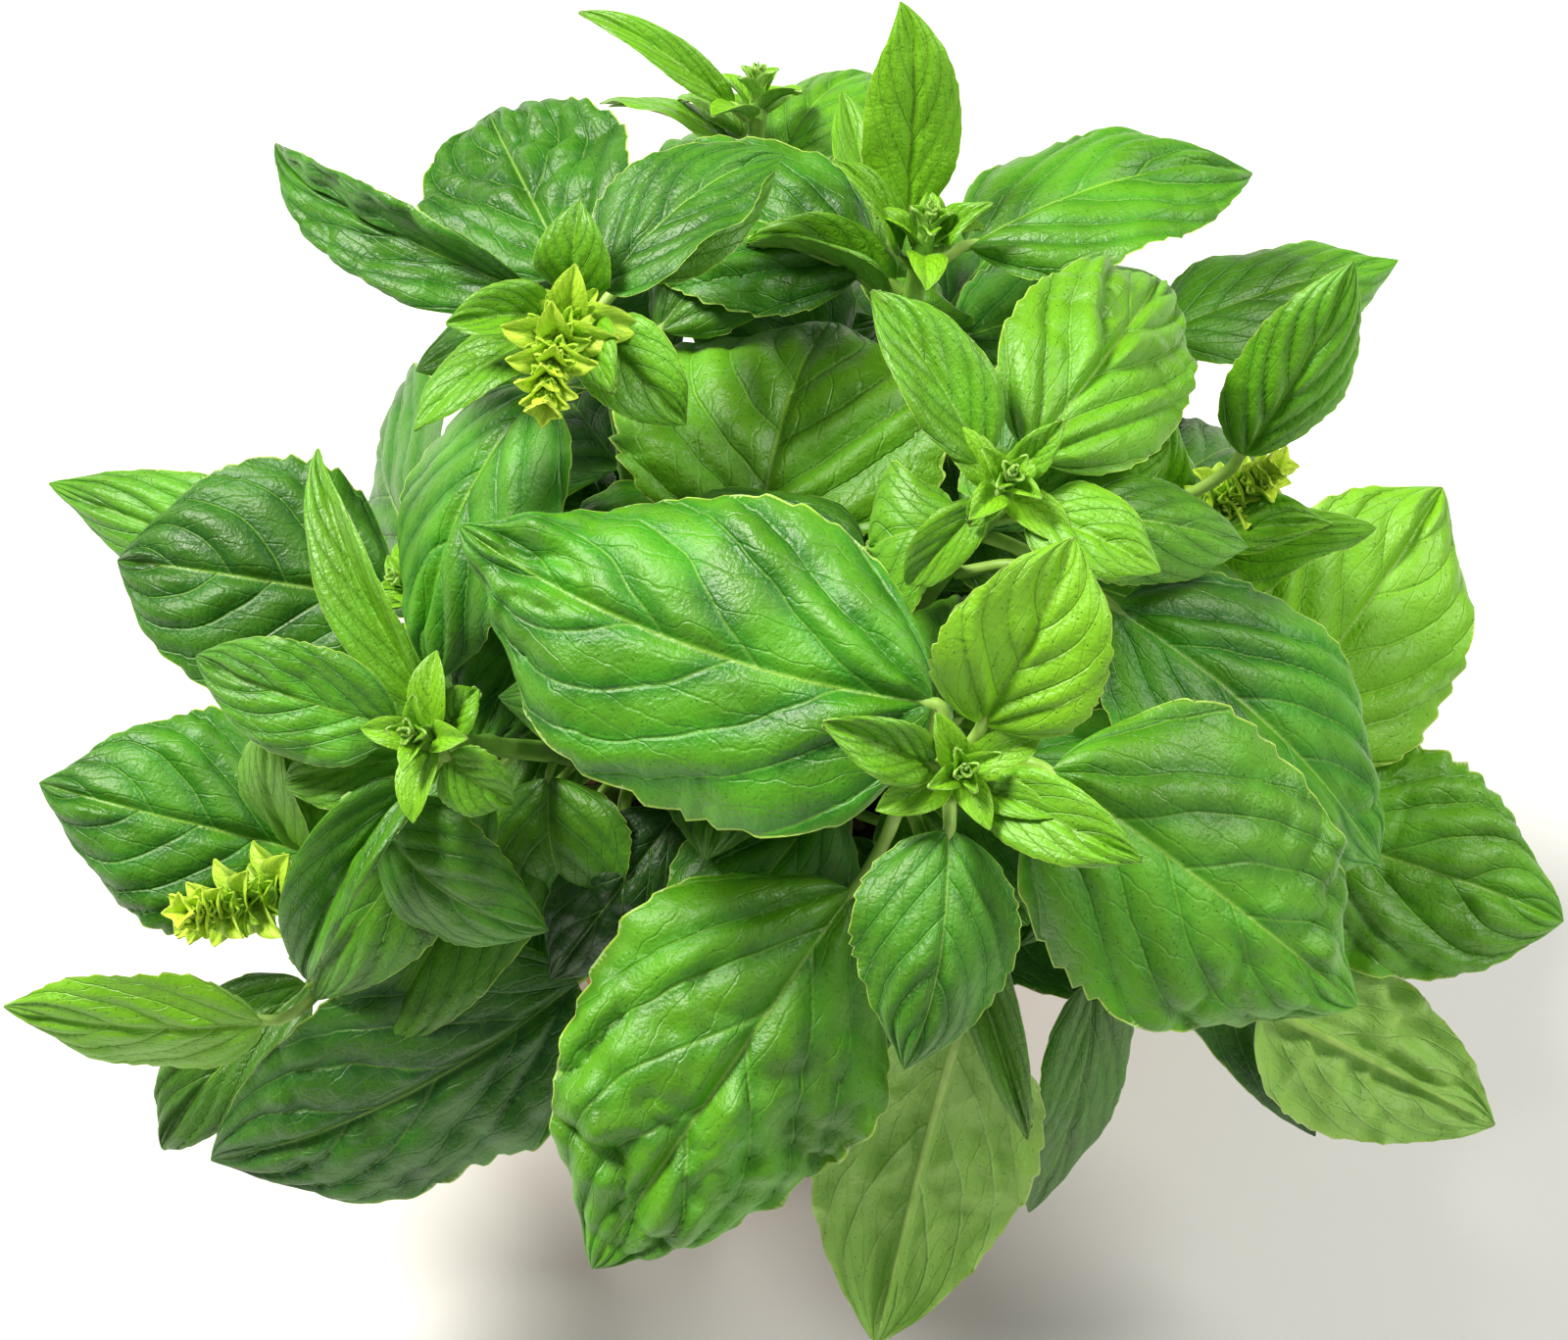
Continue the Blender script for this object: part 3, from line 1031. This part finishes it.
for name, stem in stems.items():
    corners, faces = rod(stem["points"][::4], np.full(len(stem["points"][::4]), 1.5 * MM), 6)
    remember(corners, BVHTree.FromPolygons(corners.tolist(), faces))
ring = np.linspace(0, 2 * math.pi, 48, endpoint=False)
wall = [(POT_MOUTH_RADIUS - POT_WALL, 40), (POT_MOUTH_RADIUS - POT_WALL, pot_height),
        (POT_MOUTH_RADIUS + COLLAR_STEP, pot_height), (POT_FOOT_RADIUS, 0)]
pot_rings = np.array([[(r * math.cos(a), r * math.sin(a), z) for a in ring] for r, z in wall]) * MM
corners, faces = rings_to_body(pot_rings, pot_rings[0].mean(0), pot_rings[-1].mean(0))
remember(corners, BVHTree.FromPolygons(corners.tolist(), faces))


LIGHT_WAY = Vector((0, -0.5, 0.87))


def overshadowed(corners):
    """How much of a blade lies under others, seen from the bright front of the room."""
    spots = corners[::7]
    hits = [any(tree.ray_cast(Vector(spot) + LIGHT_WAY * 2 * MM, LIGHT_WAY)[0] is not None
                for low, high, tree in obstacles if high[2] > spot[2]) for spot in spots]
    return sum(hits) / len(hits)


def fits(corners, tree):
    low, high = corners.min(0), corners.max(0)
    for other_low, other_high, other in obstacles:
        if (low < other_high).all() and (high > other_low).all() and tree.overlap(other):
            return False
    return True


# How far under a stem's tip the pairs start, their spacing, how far over its foot they end, and
# how many lies each leaf tries.
UNDERGROWTH_TOP, UNDERGROWTH_STEP, UNDERGROWTH_FOOT = 34.0, 12, 26
UNDERGROWTH_TRIES = 18
# A tip hangs outside this radius or over this height, to clear the rim, and never lower than this.
RIM_CLEAR_RADIUS, RIM_CLEAR_HEIGHT, LOWEST_TIP = 54 * MM, 88 * MM, 62 * MM
undergrowth_random = np.random.default_rng(7)
undergrowth_count = 0
for name, stem in stems.items():
    parts = []
    below, pair = UNDERGROWTH_TOP, 0
    while below < stem["length"] / MM - UNDERGROWTH_FOOT:
        axis, heading = stem_place(stem, below * MM)
        for side in range(2):
            turn = math.pi * side + math.pi / 2 * pair + 1.0
            for attempt in range(UNDERGROWTH_TRIES):
                draw = undergrowth_random.uniform(0, 1, 6)
                angle = turn + 1.1 * (draw[0] - 0.5)
                out = np.array((math.cos(angle), math.sin(angle), 0.0))
                length = (62 - 32 * attempt / UNDERGROWTH_TRIES - 10 * draw[1]) * MM
                droop = math.radians(-22 + 62 * draw[2])
                root = axis + out * 1.8 * MM
                neck = root + (0.16 * length + 3 * MM) * unit(out + np.array((0, 0, 0.45)))
                way = out * math.cos(droop) - np.array((0, 0, math.sin(droop)))
                tip = neck + way * length
                reach = np.linalg.norm(tip[:2])
                inside = reach < 0.86 * crown_radius(math.atan2(tip[1], tip[0]))
                clear_of_rim = reach > RIM_CLEAR_RADIUS or tip[2] > RIM_CLEAR_HEIGHT
                if not inside or not clear_of_rim or tip[2] < LOWEST_TIP:
                    continue
                face = unit(np.array((0, 0, 1.0)) + 0.35 * out * math.sin(droop)
                            + 0.3 * np.array((draw[3] - 0.5, draw[4] - 0.5, 0)))
                width = length * (0.56 + 0.12 * draw[5])
                blade = shaped_blade(neck, tip, width, 0.13 * length, face, -18)
                corners, tree = shells(blade, 1.4 * MM)
                if not fits(corners, tree) or overshadowed(corners) < 0.75:
                    continue
                seed = 53 * undergrowth_count + 17
                manner = habit(seed, width / MM, 0.5 * (neck[2] + tip[2]) / MM)
                manner["shade"] = min(0.95, manner["shade"] + 0.35)
                parts.append(leaf_parts(blade, root, unit(out + np.array((0, 0, 0.4))), seed,
                                        (56, 13), stalk_radius=0.8 * MM, **manner))
                remember(*shells(blade, 0.0))
                undergrowth_count += 1
                break
        below += UNDERGROWTH_STEP
        pair += 1
    if parts:
        leaf_piece("undergrowth_" + name, parts)


# ---- Shoot tips -----------------------------------------------------------------------------
# The youngest leaves of a leafy shoot: crossed pairs, each smaller, paler and more upright than
# the pair outside it, round the growing point.

# Bract skin: soft lime yellow, thinner and less glossy than a leaf.
bract_upper = leaf_material("lime_bract", dark="#86bd1c", light="#9ccb28", young="#cdec40",
                            deep="#5f9414", vein="#cfe878", margin="#f0f46a",
                            roughness=0.5, relief=0.6)


def little_leaf(base, axis, out, angle, length, width, arch, fold, seed, youth, detail=TINY):
    """A small leaf that leaves a shoot at an angle to its axis, its upper side turned inward."""
    way = axis * math.cos(angle) + out * math.sin(angle)
    face = axis * math.sin(angle) - out * math.cos(angle)
    neck = base + way * 0.12 * length
    blade = shaped_blade(neck, base + way * length, width, arch, face, fold=fold)
    return leaf_parts(blade, base, way, seed, detail, youth, shade=0.0, puff=0.03 * width / MM,
                      ruffle=0.01 * width / MM, roll=0.02 * width / MM, teeth=0.0,
                      stalk_radius=0.25 * MM)


def shoot_place(stem, below):
    """A point some way below a shoot's tip, the shoot's way there, and two ways square to it."""
    base, axis = stem_place(stem, below)
    across, other = frames_along(np.array([base, base + axis * MM, base + 2 * axis * MM]))
    return base, axis, across[0], other[0]


def flowers(stem):
    """A stem whose head is long carries a flower spike in place of a leafy tip."""
    return (1 - stem["neck"]) * stem["length"] > 15 * MM


for order, (name, stem) in enumerate(stems.items()):
    if flowers(stem):
        continue
    below = (1 - stem["neck"]) * stem["length"] + 1 * MM
    base, axis, across, other = shoot_place(stem, below)
    parts = []
    for pair, degrees in enumerate((80, 62, 46, 33, 22, 12)):
        size = 12.5 * 0.77 ** pair
        angle = math.radians(degrees)
        foot = base + axis * 1.05 * pair * MM
        for side in range(2):
            turn = math.pi / 2 * pair + math.pi * side + 0.5 * order
            out = across * math.cos(turn) + other * math.sin(turn)
            parts.append(little_leaf(foot, axis, out, angle, size * MM, 0.52 * size * MM,
                                     0.14 * size * MM, 16 + 3 * pair, 7 * order + pair, 0.8))
    leaf_piece("shoot_tip_" + name, parts)


# ---- Flower spikes --------------------------------------------------------------------------
# Whorls up a shoot's end. Each has two pointed bracts over a ring of little hairy calyces; the
# last whorls crowd together at the end, where the bracts are brightest.

WHORLS, CALYCES = 9, 8
for order, (name, stem) in enumerate(stems.items()):
    if not flowers(stem):
        continue
    random = np.random.default_rng(90 + order)
    parts = []
    for whorl in range(WHORLS):
        share = 0.08 + 0.88 * (whorl / (WHORLS - 1)) ** 0.8
        share = stem["neck"] + (1 - stem["neck"]) * share
        base, axis, across, other = shoot_place(stem, (1 - share) * stem["length"])
        size = 10.5 - 0.55 * whorl
        open_angle = math.radians(80 - 7 * whorl)
        for side in range(2 if whorl < 6 else 4):
            turn = math.pi / (1 if whorl < 6 else 2) * side + math.pi / 2 * whorl
            turn += 0.5 * (random.uniform() - 0.5)
            out = across * math.cos(turn) + other * math.sin(turn)
            parts.append(little_leaf(base, axis, out, open_angle, size * MM, 0.62 * size * MM,
                                     0.16 * size * MM, 20, 31 * order + whorl,
                                     min(1.0, 0.25 + 0.12 * whorl)))
        for calyx in range(CALYCES):
            turn = 2 * math.pi / CALYCES * calyx + 0.5 * whorl + 0.4 * random.uniform()
            out = across * math.cos(turn) + other * math.sin(turn)
            length = (6.6 - 0.36 * whorl) * random.uniform(0.8, 1.15)
            parts.append(little_leaf(base - axis * 0.8 * MM, axis, out,
                                     open_angle * random.uniform(0.7, 1.0), length * MM,
                                     0.66 * length * MM, 0.24 * length * MM, 34,
                                     17 * order + calyx, 0.15, detail=(8, 3)))
    leaf_piece("flower_spike_" + name, parts, bract_upper, bract_upper)
